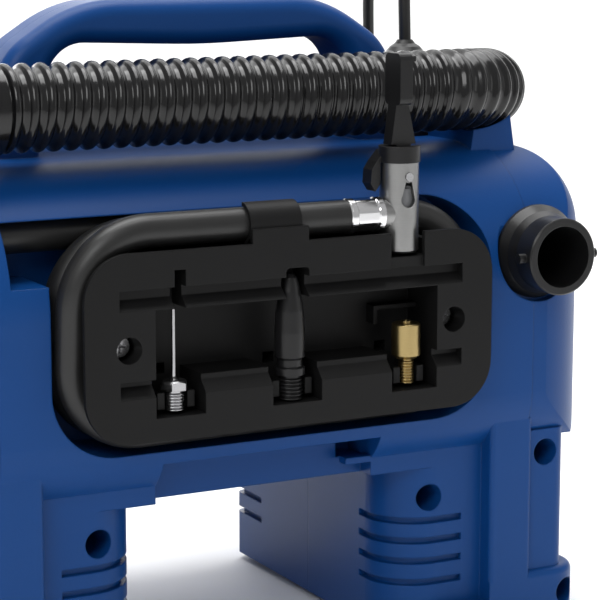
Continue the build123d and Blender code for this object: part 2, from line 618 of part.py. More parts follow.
def chuck_body():
    shape = turned([(0, CHUCK_Z0), (CHUCK_R - 1.0, CHUCK_Z0), (CHUCK_R, CHUCK_Z0 + 1.0), (CHUCK_R, CHUCK_TOP),
                    (0, CHUCK_TOP)], CHUCK_X, CHUCK_Y)
    boss = yz(Pos(CHUCK_Y, PH_ZT) * Circle(5.6), FERRULE_X1, CHUCK_X)
    shape += boss
    shape -= rod_z(VALVE_R, CHUCK_Z0 - 1, CHUCK_Z0 + VALVE_L, CHUCK_X, CHUCK_Y)
    shape -= rod_z(2.2, CHUCK_Z0, CHUCK_Z0 + VALVE_L + 2.2, CHUCK_X, CHUCK_Y)
    shape -= rod_z(5.6, CHUCK_Z0 + VALVE_L + 2.0, CHUCK_TOP + 1, CHUCK_X, CHUCK_Y)
    shape -= rod_x(2.0, FERRULE_X1 - 1, CHUCK_X, CHUCK_Y, PH_ZT)
    # tear-shaped window through the front wall
    drop = Pos(CHUCK_X, 177.5) * Circle(2.9)
    drop += Polygon((CHUCK_X - 2.6, 178.6), (CHUCK_X + 2.6, 178.6), (CHUCK_X + 1.3, 184), (CHUCK_X - 1.3, 184),
                    align=None)
    shape -= xz(drop, CHUCK_Y - CHUCK_R - 1, CHUCK_Y)
    # slot on the right where the lever's tongue swings down
    shape -= block(CHUCK_X, CHUCK_X + CHUCK_R + 1, CHUCK_Y - 3.4, CHUCK_Y + 3.4, PIN_Z - 3.6, CHUCK_TOP + 1)
    shape -= rod_y(PIN_R, CHUCK_Y - CHUCK_R - 1, CHUCK_Y + CHUCK_R + 1, CHUCK_X, PIN_Z)
    return shape


def chuck_pin():
    return rod_y(PIN_R, CHUCK_Y - CHUCK_R - 0.6, CHUCK_Y + CHUCK_R + 0.6, CHUCK_X, PIN_Z)


def chuck_plunger():
    z0 = CHUCK_Z0 + VALVE_L + 6.2
    shape = rod_z(5.6 - FIT, z0, PIN_Z - 4.6, CHUCK_X, CHUCK_Y)
    return shape - rod_z(1.5, z0 - 1, PIN_Z, CHUCK_X, CHUCK_Y)


def chuck_seal():
    z0 = CHUCK_Z0 + VALVE_L + 2.0
    return rod_z(5.5, z0, z0 + 2.4, CHUCK_X, CHUCK_Y) - rod_z(2.4, z0 - 1, z0 + 3, CHUCK_X, CHUCK_Y)


def chuck_cap():
    """Black collar on the barrel with the slot for the lever and the hook on its left."""
    shape = rod_z(CHUCK_R + 0.5, CHUCK_TOP, CHUCK_TOP + 6.0, CHUCK_X, CHUCK_Y)
    shape -= block(CHUCK_X - 3.4, CHUCK_X + 12, CHUCK_Y - 3.4, CHUCK_Y + 3.4, CHUCK_TOP - 1, CHUCK_TOP + 7)
    hook = xz(Polygon((CHUCK_X - 6.0, CHUCK_TOP + 4.4), (CHUCK_X - 6.0, CHUCK_TOP + 0.2),
                      (CHUCK_X - 7.9, CHUCK_TOP + 0.2), (CHUCK_X - 7.9, 183), (CHUCK_X - 10.1, 180.4),
                      (CHUCK_X - 12, 183.4), (CHUCK_X - 11.6, 188.4), (CHUCK_X - 9.6, 191.4), align=None),
              CHUCK_Y, CHUCK_Y + 6.5)
    return shape + hook


def chuck_lever():
    tongue = xz(Pos(CHUCK_X, PIN_Z) * Circle(3.2), CHUCK_Y - 3.0, CHUCK_Y + 3.0)
    tongue += block(CHUCK_X - 3.0, CHUCK_X + 3.0, CHUCK_Y - 3.0, CHUCK_Y + 3.0, PIN_Z, CHUCK_TOP + 7)
    low = CHUCK_TOP + 6.6
    stem = xz(Polygon((CHUCK_X - 5.2, low), (CHUCK_X + 5.2, low), (CHUCK_X + 1.8, 213), (CHUCK_X - 3.0, 213),
                      align=None), CHUCK_Y - 3.0, CHUCK_Y + 3.0)
    paddle = yz(Pos(CHUCK_Y, (212 + LEVER_TOP) / 2) * RectangleRounded(11.2, LEVER_TOP - 212, 2.5),
                CHUCK_X - 3.0, CHUCK_X + 2.2)
    lip = block(CHUCK_X - 3.0, CHUCK_X + 3.6, CHUCK_Y - 5.4, CHUCK_Y + 5.4, LEVER_TOP - 3.0, LEVER_TOP - 1.0)
    shape = tongue + stem + paddle + lip
    return shape - rod_y(PIN_R + FIT, CHUCK_Y - 12, CHUCK_Y + 12, CHUCK_X, PIN_Z)


# ---------------------------------------------------------------- air port and volume hose
def air_port():
    y = PORT_Y
    shape = turned_y([(PORT_BORE, y), (PORT_R - 0.6, y), (PORT_R, y + 0.6), (PORT_R, y + 10), (PORT_R + 1.2, y + 14),
                      (PORT_FLANGE_R, PORT_BED_Y - 1.5), (PORT_FLANGE_R, PORT_BED_Y), (PORT_R, PORT_BED_Y),
                      (PORT_R, PORT_END_Y), (PORT_BORE, PORT_END_Y)], PORT_X, PORT_Z)
    for s in (1, -1):
        stud = rod_x(1.9, min(s * 14, s * 17.6), max(s * 14, s * 17.6), y + 4.5, 0)
        shape += Pos(PORT_X, 0, PORT_Z) * stud
    return shape


def volume_hose():
    r = VH_R - 0.6
    inner = r - VH_WALL
    ring = Pos(VH_Y, VH_Z) * (Circle(r) - Circle(inner))
    shape = yz(ring, VH_CUFF_X, VH_TURN_X) + yz(Pos(-2 * VH_Y, 0) * ring, VH_CUFF_X, VH_TURN_X)
    shape += revolve(Plane.YZ.offset(VH_TURN_X) * ring, axis=Axis((VH_TURN_X, 0, 0), (0, 0, -1)),
                     revolution_arc=180)
    return tilted(shape)


def hose_cuff(side):
    x1 = VH_CUFF_X
    x0 = x1 - VH_CUFF_L
    y = side * VH_Y
    shape = rod_x(VH_CUFF_R - 1.0, x0, x1, y, VH_Z) + rod_x(VH_CUFF_R, x1 - 12, x1, y, VH_Z)
    shape += rod_x(VH_CUFF_R, x0, x0 + 4, y, VH_Z)
    return tilted(shape - rod_x(PORT_R + 0.1, x0 - 1, x1 + 1, y, VH_Z))


# ---------------------------------------------------------------- feet and cord entry
def rubber_feet():
    shape = Part()
    for s in (1, -1):
        for y in (-52, 52):
            for x in (75, 116):
                shape += rod_z(FOOT_R - 0.1, 0, LEG_BOTTOM + FOOT_SINK, s * x, y)
    return shape


def cord_gland():
    r = GLAND_R
    shape = turned([(0, DECK_Z - 10), (6.9, DECK_Z - 10), (6.9, DECK_Z), (r + 2.5, DECK_Z), (r + 2.5, DECK_Z + 3),
                    (r + 1, DECK_Z + 6), (0, DECK_Z + 6)], GLAND_X, 0)
    return shape - rod_z(CORD_R + 0.1, DECK_Z - 11, DECK_Z + 7, GLAND_X, 0)


def strain_relief():
    r = GLAND_R
    z = GLAND_TOP
    shape = turned([(0, DECK_Z + 6), (r + 0.5, DECK_Z + 6), (r, z - 8), (r - 1, z - 4), (r - 3.4, z - 1.2), (4.2, z),
                    (3.1, z + 1.5), (0, z + 1.5)], GLAND_X, 0)
    return shape - rod_z(CORD_R, DECK_Z + 5, z + 3, GLAND_X, 0)


CORD_POINTS = [(96.5, 0, 230.5), (96.2, 0.4, 248), (97.5, 3, 266), (101, 11, 284), (107, 27, 298), (115, 50, 300),
               (122, 70, 289), (127, 84, 268), (130, 90, 242), (131.5, 91.5, 214), (134, 91, 186), (137, 92.5, 158),
               (140, 92, 130), (143, 93, 102), (147, 93, 75), (150.5, 94, 51), (154, 95.5, 32), (155.5, 100.5, 15),
               (156.3, 111, 5.5), (156, 122, 2.6)]
COIL_AT = (124.0, 120.0)
COIL_MID_R = 27.0
COIL_ROWS = 3
COIL_COLS = 3


def power_cord():
    radii = []
    pts = [Vector(*p) for p in CORD_POINTS]
    for before, here, after in zip(pts, pts[1:], pts[2:]):
        turn = math.radians((here - before).get_angle(after - here))
        run = min((here - before).length, (after - here).length)
        radii.append(0.45 * run / math.tan(turn / 2))
    solid, path = tube(CORD_POINTS, radii, CORD_R)
    print("cord radii", [round(r, 1) for r in radii])
    print("cord tube length", round(path.length, 1), "volume ratio",
          round(solid.volume / (path.length * math.pi * CORD_R ** 2), 4))
    return solid


def cord_coil():
    half = COIL_COLS * CORD_R
    x, y = COIL_AT
    ring = turned([(COIL_MID_R - half, 0), (COIL_MID_R + half, 0), (COIL_MID_R + half, COIL_ROWS * 2 * CORD_R),
                   (COIL_MID_R - half, COIL_ROWS * 2 * CORD_R)], x, y)
    return ring


# ---------------------------------------------------------------- control side
def control_panel():
    front = BODY_D / 2
    plate = xz(rounded(-PANEL_X, PANEL_X, PANEL_Z0, PANEL_Z1, 8), front, front + PANEL_T)
    plate += xz(rounded(-PANEL_X + 5.4, PANEL_X - 5.4, PANEL_Z0 + 5.4, PANEL_Z1 - 5.4, 5), front - 4, front)
    plate -= xz(rounded(-54, -2, 103, 130, 2), front - 5, front + 10)
    for x in BUTTON_X:
        plate -= xz(rounded(x - 6.2, x + 6.2, 110.3, 122.7, 2.5), front - 5, front + 10)
    plate -= xz(rounded(SWITCH_X - 7.5, SWITCH_X + 7.5, PANEL_MID - 10.5, PANEL_MID + 10.5, 1.0), front - 5, front + 10)
    plate -= rod_y(4.2, front - 5, front + 10, KNOB_X, PANEL_MID)
    return plate


def display_lens():
    front = BODY_D / 2 + PANEL_T
    return xz(rounded(-53.8, -2.2, 103.2, 129.8, 2), front - 3.2, front - 0.6)


def display_module():
    return block(-50, -6, BOARD_Y + 1.6, BOARD_Y + 9, 105, 128)


def control_board():
    board = block(-58, 58, BOARD_Y, BOARD_Y + 1.6, 101, 132)
    for x in BUTTON_X:
        board += block(x - 3, x + 3, BOARD_Y + 1.6, BOARD_Y + 5.0, PANEL_MID - 3, PANEL_MID + 3)
    return board


def panel_button(x):
    front = BODY_D / 2 + PANEL_T
    cap = xz(rounded(x - 5.8, x + 5.8, PANEL_MID - 5.8, PANEL_MID + 5.8, 2.2), front - 8, front + 1.6)
    cap = fillet(cap.faces().sort_by(Axis.Y)[-1].edges(), 0.7)
    cap += xz(rounded(x - 7.4, x + 7.4, PANEL_MID - 7.4, PANEL_MID + 7.4, 2.2), BOARD_Y + 6.6, front - 7.8)
    return cap


def switch_frame():
    front = BODY_D / 2 + PANEL_T
    rim = xz(rounded(SWITCH_X - 9, SWITCH_X + 9, PANEL_MID - 12, PANEL_MID + 12, 1.5), front, front + 1.8)
    can = block(SWITCH_X - 7.1, SWITCH_X + 7.1, front - 16, front, PANEL_MID - 10.1, PANEL_MID + 10.1)
    shape = rim + can
    shape -= block(SWITCH_X - 6.0, SWITCH_X + 6.0, front - 9, front + 5, PANEL_MID - 9.5, PANEL_MID + 9.5)
    return shape


def switch_rocker():
    front = BODY_D / 2 + PANEL_T
    side = Polygon((front - 4.5, PANEL_MID - 4), (front + 1.2, PANEL_MID - 8.4), (front + 1.2, PANEL_MID),
                   (front + 4.2, PANEL_MID + 8.2), (front - 4.5, PANEL_MID + 4), align=None)
    return yz(side, SWITCH_X - 5.6, SWITCH_X + 5.6)


def selector_knob():
    front = BODY_D / 2 + PANEL_T
    shape = turned_y([(0, front + 0.4), (13, front + 0.4), (13, front + 5), (11.5, front + 6), (0, front + 6)], KNOB_X,
                     PANEL_MID)
    grip = xz(rounded(KNOB_X - 3.2, KNOB_X + 3.2, PANEL_MID - 12, PANEL_MID + 12, 3), front + 5, -PORT_Y)
    shape += fillet(grip.faces().sort_by(Axis.Y)[-1].edges(), 1.0)
    shape += rod_y(3.0, BOARD_Y + 3, front + 1, KNOB_X, PANEL_MID)
    return shape


def selector_switch():
    front = BODY_D / 2 + PANEL_T
    body = rod_y(11.0, front - 18, front - 7.6, KNOB_X, PANEL_MID)
    return body - rod_y(3.0 + FIT, front - 16, front + 3, KNOB_X, PANEL_MID)


# ---------------------------------------------------------------- compressor
def gear_outline(teeth, phase, play):
    """Straight-sided teeth, thinned by play so that the pair turns freely."""
    tip = MODULE * (teeth / 2 + 0.9)
    root = MODULE * (teeth / 2 - 1.15)
    pitch = 2 * math.pi / teeth
    points = []
    for i in range(teeth):
        a = phase + i * pitch
        for r, w in ((root, -0.36), (tip, -0.13), (tip, 0.13), (root, 0.36)):
            angle = a + w * pitch - math.copysign(play / r, w)
            points.append((r * math.cos(angle), r * math.sin(angle)))
    return make_face(Polyline(*points, close=True))


def drive_gear():
    shape = yz(Pos(CRANK_Y, CRANK_Z) * gear_outline(GEAR_TEETH, math.pi / 2, 0.12), GEAR_X0, GEAR_X1)
    shape -= rod_x(18.5, GEAR_X1 - 2.5, GEAR_X1 + 1, CRANK_Y, CRANK_Z) - rod_x(7, -130, 0, CRANK_Y, CRANK_Z)
    shape -= rod_x(CRANK_PIN_R + FIT, GEAR_X0 + 2, GEAR_X1 + 1, CRANK_Y, CRANK_Z)
    shape += rod_x(CRANK_PIN_R, GEAR_X0 - 8.5, GEAR_X0 + 1, CRANK_Y, CRANK_Z + CRANK_THROW)
    return shape


def gear_axle():
    return rod_x(CRANK_PIN_R, GEAR_X0 + 2.4, FRAME_X1, CRANK_Y, CRANK_Z)


def pinion():
    mesh = -math.pi / 2 + math.pi + math.pi / PINION_TEETH
    shape = yz(Pos(CRANK_Y, MOTOR_Z) * gear_outline(PINION_TEETH, mesh, 0.12), GEAR_X0 - 0.5, GEAR_X1 + 0.5)
    return shape - rod_x(ARM_R, -130, 0, CRANK_Y, MOTOR_Z)


def motor_shaft():
    return rod_x(ARM_R, GEAR_X0 - 0.5, -8.0, CRANK_Y, MOTOR_Z)


def motor_rotor():
    shape = rod_x(19, -80, -36, CRANK_Y, MOTOR_Z)
    for i in range(12):
        a = i * 30
        groove = Rot(a, 0, 0) * block(-81, -35, -1.2, 1.2, 15.5, 20)
        shape -= Pos(0, CRANK_Y, MOTOR_Z) * groove
    return shape - rod_x(ARM_R, -90, 0, CRANK_Y, MOTOR_Z)


def motor_fan():
    shape = rod_x(7, -17, -9, CRANK_Y, MOTOR_Z) + rod_x(21, -17, -15.5, CRANK_Y, MOTOR_Z)
    for i in range(8):
        blade = Rot(i * 45, 0, 0) * block(-16, -9.5, -0.8, 0.8, 6, 21)
        shape += Pos(0, CRANK_Y, MOTOR_Z) * blade
    return shape - rod_x(ARM_R, -30, 0, CRANK_Y, MOTOR_Z)


def motor_can():
    shape = rod_x(MOTOR_R, -88.5, -24, CRANK_Y, MOTOR_Z) - rod_x(MOTOR_R - 2.5, -86.5, -26, CRANK_Y, MOTOR_Z)
    return shape - rod_x(ARM_R + FIT, -100, 0, CRANK_Y, MOTOR_Z)


def compressor_frame():
    outline = rounded(CRANK_Y - 27, CRANK_Y + 27, SHELF_Z + WALL, CRANK_Z + 14, 8)
    outline += rounded(CRANK_Y, CYL_Y1, CRANK_Z - 15, CRANK_Z + 14, 4)
    plate = yz(outline, FRAME_X0, FRAME_X1)
    foot = block(FRAME_X0, FRAME_X1 + 24, CRANK_Y - 20, CRANK_Y + 20, SHELF_Z + WALL, SHELF_Z + WALL + 2.6)
    collar = rod_x(CYL_R, -1, 1, 0, 0)
    band = xz(Pos((ROD_X0 + ROD_X1) / 2, CRANK_Z) * (Circle(CYL_R + 3) - Circle(CYL_R + 0.02)), 28, 38)
    arm = block(FRAME_X0 - 4, FRAME_X0 + 1, 28, 38, CRANK_Z - 9, CRANK_Z + 9)
    arm -= rod_y(CYL_R + 0.02, 20, 50, (ROD_X0 + ROD_X1) / 2, CRANK_Z)
    shape = plate + foot + band + arm
    shape -= rod_x(CRANK_PIN_R, -130, 0, CRANK_Y, CRANK_Z)
    shape -= rod_x(ARM_R + 1.0, -130, 0, CRANK_Y, MOTOR_Z)
    return shape


def cylinder():
    x = (ROD_X0 + ROD_X1) / 2
    shape = rod_y(CYL_R, CYL_Y0, CYL_Y1, x, CRANK_Z)
    return shape - rod_y(PISTON_R + 0.08, CYL_Y0 - 1, CYL_Y1 + 1, x, CRANK_Z)


def cylinder_head():
    x = (ROD_X0 + ROD_X1) / 2
    shape = xz(rounded(x - 15, x + 15, CRANK_Z - 15, CRANK_Z + 15, 4), CYL_Y1, CYL_Y1 + 9)
    for i in range(4):
        z = CRANK_Z - 11 + i * 7.3
        shape -= block(x - 20, x + 20, CYL_Y1 + 5, CYL_Y1 + 10, z - 1.4, z + 1.4)
    shape += rod_z(3.2, CRANK_Z + 14, CRANK_Z + 22, x, CYL_Y1 + 4.5)
    return shape


def piston_rod():
    x = (ROD_X0 + ROD_X1) / 2
    reach = 2 * CRANK_THROW + CRANK_PIN_R + GAP
    high = CRANK_THROW + CRANK_PIN_R + GAP
    eye = Pos(CRANK_Y, CRANK_Z) * RectangleRounded(2 * reach + 8, 2 * high + 8, high + 3.5)
    eye -= Pos(CRANK_Y, CRANK_Z) * RectangleRounded(2 * reach, 2 * high, high - 0.5)
    shape = yz(eye, ROD_X0, ROD_X1)
    shape += block(ROD_X0, ROD_X1, CRANK_Y + reach + 2, PISTON_Y0 + 2, CRANK_Z - 3.5, CRANK_Z + 3.5)
    shape += rod_y(PISTON_R, PISTON_Y0, PISTON_Y0 + 8, x, CRANK_Z)
    return shape


def outlet_tube():
    """Inner air line from the cylinder head to the hose union."""
    x = (ROD_X0 + ROD_X1) / 2
    y = CYL_Y1 + 4.5
    end = CHANNEL_X - WALL - 9
    points = [(x, y, CRANK_Z + 22), (x, y, CRANK_Z + 31), (x - 7, 0, CRANK_Z + 30.5), (x - 17, -30, CRANK_Z + 24),
              (end - 13, PH_Y[0], PH_Z1), (end, PH_Y[0], PH_Z1)]
    return tube(points, [7.0, 25.0, 20.0, 8.0], 3.0)[0]


# ---------------------------------------------------------------- blower
def blower_outline(r):
    return Pos(BLOW_Y, BLOW_Z) * Circle(r)


def blower_housing():
    shape = rod_x(BLOW_R, BLOW_X0, BLOW_X1 - 2.5, BLOW_Y, BLOW_Z)
    duct = rod_y(PORT_R, PORT_END_Y, BLOW_Y - 20, PORT_X, PORT_Z)
    duct += rod_y(PORT_R, BLOW_Y - 21, BLOW_Y, PORT_X, PORT_Z) & block(0, BLOW_X1 - 2.5, -50, 50, 0, 200)
    shape += duct
    shape -= rod_x(BLOW_R - 2.5, BLOW_X0 + 2.5, BLOW_X1, BLOW_Y, BLOW_Z)
    shape -= rod_y(PORT_BORE + 1.2, PORT_END_Y - 1, BLOW_Y - 10, PORT_X, PORT_Z)
    return shape - rod_x(ARM_R + FIT, BLOW_X0 - 5, BLOW_X1, BLOW_Y, BLOW_Z)


def blower_cover():
    shape = rod_x(BLOW_R, BLOW_X1 - 2.5, BLOW_X1, BLOW_Y, BLOW_Z)
    shape -= rod_y(PORT_R, PORT_END_Y, BLOW_Y - 20, PORT_X, PORT_Z)
    return shape - rod_x(15, BLOW_X1 - 5, BLOW_X1 + 5, BLOW_Y, BLOW_Z)


def impeller():
    x0 = BLOW_X0 + 4.5
    shape = rod_x(35, x0, x0 + 1.6, BLOW_Y, BLOW_Z) + rod_x(6.5, x0, x0 + 16, BLOW_Y, BLOW_Z)
    for i in range(12):
        blade = Rot(i * 30, 0, 0) * (Pos(0, 4, 0) * block(x0 + 1, x0 + 16, -0.8, 0.8, 5, 33))
        shape += Pos(0, BLOW_Y, BLOW_Z) * blade
    return shape - rod_x(ARM_R, BLOW_X0 - 5, BLOW_X1, BLOW_Y, BLOW_Z)


def blower_shaft():
    return rod_x(ARM_R, 48, BLOW_X0 + 20.5, BLOW_Y, BLOW_Z)


def blower_motor():
    shape = rod_x(21, 46, BLOW_X0, BLOW_Y, BLOW_Z) - rod_x(18.5, 48, BLOW_X0 - 2, BLOW_Y, BLOW_Z)
    shape -= rod_x(ARM_R + FIT, 47, BLOW_X0 + 5, BLOW_Y, BLOW_Z)
    shape += block(60, 84, BLOW_Y - 14, BLOW_Y + 14, SHELF_Z + WALL, BLOW_Z - 19)
    return shape - rod_x(18.5, 48, BLOW_X0 - 2, BLOW_Y, BLOW_Z)


def blower_rotor():
    return rod_x(15, 54, 90, BLOW_Y, BLOW_Z) - rod_x(ARM_R, 40, BLOW_X0, BLOW_Y, BLOW_Z)


def power_board():
    """Supply board standing in the left leg with its transformer and capacitors."""
    face = -80.0
    low = LEG_BOTTOM + WALL
    shape = block(face, face + 1.6, -42, 42, low, 72)
    shape += block(face - 26, face, -30, 6, 12, 44)
    for y in (18, 32):
        shape += rod_x(6, face - 22, face, y, 30)
    shape += block(face - 10, face, -34, 34, 54, 66)
    return shape


# ---------------------------------------------------------------- plug
PLUG_AT = (110.0, 142.0, COIL_ROWS * 2 * CORD_R)    # lies across the top of the coil
PLUG_HALF = 12.0
PLUG_NOSE = 14.0
BLADE_L = 16.0


def plug_body():
    x, y, z = PLUG_AT
    shape = block(x - PLUG_HALF, x + PLUG_HALF, y - 9, y + 9, z, z + 13)
    shape = fillet(shape.edges().filter_by(Axis.Z), 5)
    nose = block(x + PLUG_HALF, x + PLUG_HALF + PLUG_NOSE, y - 4.2, y + 4.2, z + 2.3, z + 10.7)
    nose = fillet(nose.edges().filter_by(Axis.X), 3.2)
    return shape + nose


def plug_blades():
    x, y, z = PLUG_AT
    end = x - PLUG_HALF
    shape = Part()
    for s in (1, -1):
        shape += block(end - BLADE_L, end, y + s * 6.35 - 0.75, y + s * 6.35 + 0.75, z + 3.3, z + 9.7)
    return shape


# ---------------------------------------------------------------- build
shell = body_shell()
save(rear_housing(shell), "rear_housing")
save(front_housing(shell), "front_housing")
save(accessory_tray(), "accessory_tray")
save(tray_screws(), "tray_screws")
save(case_screws(), "case_screws")
save(ball_needle(), "ball_needle")
save(taper_nozzle(), "taper_nozzle")
save(valve_adapter(), "valve_adapter")
save(pressure_hose(), "pressure_hose")
save(hose_gland(), "hose_union")
save(hose_ferrule(), "hose_ferrule")
save(chuck_body(), "chuck_body")
save(chuck_pin(), "chuck_pin")
save(chuck_plunger(), "chuck_plunger")
save(chuck_seal(), "chuck_seal")
save(chuck_cap(), "chuck_cap")
save(chuck_lever(), "chuck_lever")
save(air_port(), "air_port")
save(volume_hose(), "volume_hose")
save(hose_cuff(-1), "rear_cuff")
save(hose_cuff(1), "front_cuff")
save(rubber_feet(), "rubber_feet")
save(cord_gland(), "cord_gland")
save(strain_relief(), "strain_relief")
save(power_cord(), "power_cord")
save(cord_coil(), "cord_coil")
save(plug_body(), "plug_body")
save(plug_blades(), "plug_blades")
save(control_panel(), "control_panel")
save(display_lens(), "display_lens")
save(display_module(), "display_module")
save(control_board(), "control_board")
for name, x in zip(("minus_button", "plus_button", "unit_button"), BUTTON_X):
    save(panel_button(x), name)
save(switch_frame(), "switch_frame")
save(switch_rocker(), "switch_rocker")
save(selector_knob(), "selector_knob")
save(selector_switch(), "selector_switch")
save(drive_gear(), "drive_gear")
save(gear_axle(), "gear_axle")
save(pinion(), "pinion")
save(motor_shaft(), "motor_shaft")
save(motor_rotor(), "motor_rotor")
save(motor_fan(), "motor_fan")
save(motor_can(), "motor_can")
save(compressor_frame(), "compressor_frame")
save(cylinder(), "cylinder")
save(cylinder_head(), "cylinder_head")
save(piston_rod(), "piston_rod")
save(outlet_tube(), "outlet_tube")
save(blower_housing(), "blower_housing")
save(blower_cover(), "blower_cover")
save(impeller(), "impeller")
save(blower_shaft(), "blower_shaft")
save(blower_rotor(), "blower_rotor")
save(blower_motor(), "blower_motor")
save(power_board(), "power_board")
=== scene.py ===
"""Looks of a portable mains air inflator, built round its CAD frame.

Metres, in the frame's own axes: -Y is the storage side, +X the air port's end, +Z up.
"""
import json
import math

import bmesh
import bpy
from mathutils import Matrix, Vector


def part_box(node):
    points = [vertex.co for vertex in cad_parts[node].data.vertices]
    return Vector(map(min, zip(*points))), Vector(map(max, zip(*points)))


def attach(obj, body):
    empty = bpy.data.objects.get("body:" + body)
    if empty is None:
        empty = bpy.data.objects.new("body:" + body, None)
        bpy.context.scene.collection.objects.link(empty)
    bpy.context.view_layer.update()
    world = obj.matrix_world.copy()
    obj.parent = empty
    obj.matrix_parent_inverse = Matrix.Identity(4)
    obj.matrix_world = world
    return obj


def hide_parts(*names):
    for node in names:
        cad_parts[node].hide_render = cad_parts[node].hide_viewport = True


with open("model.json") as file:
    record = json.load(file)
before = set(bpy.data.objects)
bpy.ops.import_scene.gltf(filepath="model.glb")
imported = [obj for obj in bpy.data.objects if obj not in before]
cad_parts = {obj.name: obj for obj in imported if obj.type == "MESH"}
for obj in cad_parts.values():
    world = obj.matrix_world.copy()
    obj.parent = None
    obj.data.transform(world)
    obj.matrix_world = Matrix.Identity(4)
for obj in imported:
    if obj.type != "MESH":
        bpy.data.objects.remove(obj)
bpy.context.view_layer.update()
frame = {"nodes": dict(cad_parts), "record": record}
NODES = frame["nodes"]
MM = 0.001

# ---- camera ----
CAMERA_AT = (-0.3644, -0.7845, 0.2817)
CAMERA_LOOK = (0.45786, 0.87210, -0.17262)
CAMERA_LENS = 132.8

# ---- hose ferrule ----
FERRULE_COLLAR = 2.6 * MM
FERRULE_STEPS = 64
FERRULE_EDGE = 0.4 * MM
FERRULE_STEP = 0.5 * MM    # run from a collar down to the flats
FERRULE_FLATS = 8
FLAT_DEPTH = 0.90          # distance of a flat from the axis, in radii

# ---- backdrop ----
COVE_BACK = 3.6
COVE_R = 1.5

# ---- power cord ----
CORD_D = 5.0 * MM
CORD_ROUTE = [(96.5, 0, 230.5), (96.2, 0.4, 248), (97.5, 3, 266), (101, 11, 284), (107, 27, 298),
              (115, 50, 300), (122, 70, 289), (127, 84, 268), (130, 90, 242), (131.5, 91.5, 214),
              (134, 91, 186), (137, 92.5, 158), (140, 92, 130), (143, 93, 102), (147, 93, 75),
              (150.5, 94, 51), (154, 95.5, 32), (155.6, 98.5, 18.5), (156.6, 106.5, 7.5), (156.6, 118, 2.9)]
COIL_CENTRE = (124.0, 120.0)
COIL_STEPS = 16            # route points in each turn of the coil
COIL_COLUMNS = (31.0, 26.2, 21.4)
COIL_TURNS = 8
COIL_SHIFT = 6             # points over which a turn moves to the next column or row
COIL_ROWS = 3
ROW_RISE = 5.0             # from one row of the coil to the next
FLOOR_GAP = 0.1
LAST_TURN_SHORT = 3        # route points left off the last turn
PLUG_ROUTE = [(146, 99.6, 13.4), (155, 107.6, 15.9), (158.2, 119, 18.8), (155.3, 129.9, 20.8),
              (147.4, 137.8, 21.5), (136, 140, 21.5)]

# ---- corrugated hose ----
RIB_PITCH = 6.5 * MM
RIB_CREST = 16.0 * MM
RIB_ROOT = 14.2 * MM
RIB_AROUND = 48
TUBE_R = 15.4 * MM         # the smooth tube that the ribbed hose stands in for
RIB_SLANT = 0.10


# ================================================================ small helpers
def put(mesh_maker, name, body="casing"):
    """Turn a bmesh into an object that rides on a body."""
    mesh = bpy.data.meshes.new(name)
    mesh_maker.to_mesh(mesh)
    mesh_maker.free()
    piece = bpy.data.objects.new(name, mesh)
    bpy.context.scene.collection.objects.link(piece)
    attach(piece, body)
    return piece


def smooth(piece, degrees=35.0):
    """Smooth shading with the edges sharper than an angle kept."""
    mesh = piece.data
    mesh.polygons.foreach_set("use_smooth", [True] * len(mesh.polygons))
    mesh.set_sharp_from_angle(angle=math.radians(degrees))


def outline(points, bm):
    """A chain of vertices and edges through the points."""
    verts = [bm.verts.new(p) for p in points]
    return verts, [bm.edges.new(pair) for pair in zip(verts, verts[1:])]


def turned(bm, points, centre, axis, steps=48):
    """Spin an outline of points a full turn about an axis and join its ends."""
    verts, edges = outline(points, bm)
    bmesh.ops.spin(bm, geom=verts + edges, cent=centre, axis=axis, angle=math.tau, steps=steps,
                   use_merge=True)
    bmesh.ops.remove_doubles(bm, verts=bm.verts, dist=1e-6)
    bmesh.ops.recalc_face_normals(bm, faces=bm.faces)


# ================================================================ shader helpers
class Number:
    """A number in a shader that takes plain arithmetic."""

    def __init__(self, finish, socket):
        self.finish = finish
        self.socket = socket

    def _math(self, operation, a, b):
        node = self.finish.add("ShaderNodeMath", {"operation": operation}, {0: a, 1: b})
        return Number(self.finish, node.outputs[0])

    def __add__(self, other):
        return self._math("ADD", self, other)

    __radd__ = __add__

    def __mul__(self, other):
        return self._math("MULTIPLY", self, other)

    __rmul__ = __mul__

    def __sub__(self, other):
        return self._math("SUBTRACT", self, other)

    def __rsub__(self, other):
        return self._math("SUBTRACT", other, self)

    def __pow__(self, other):
        return self._math("POWER", self, other)


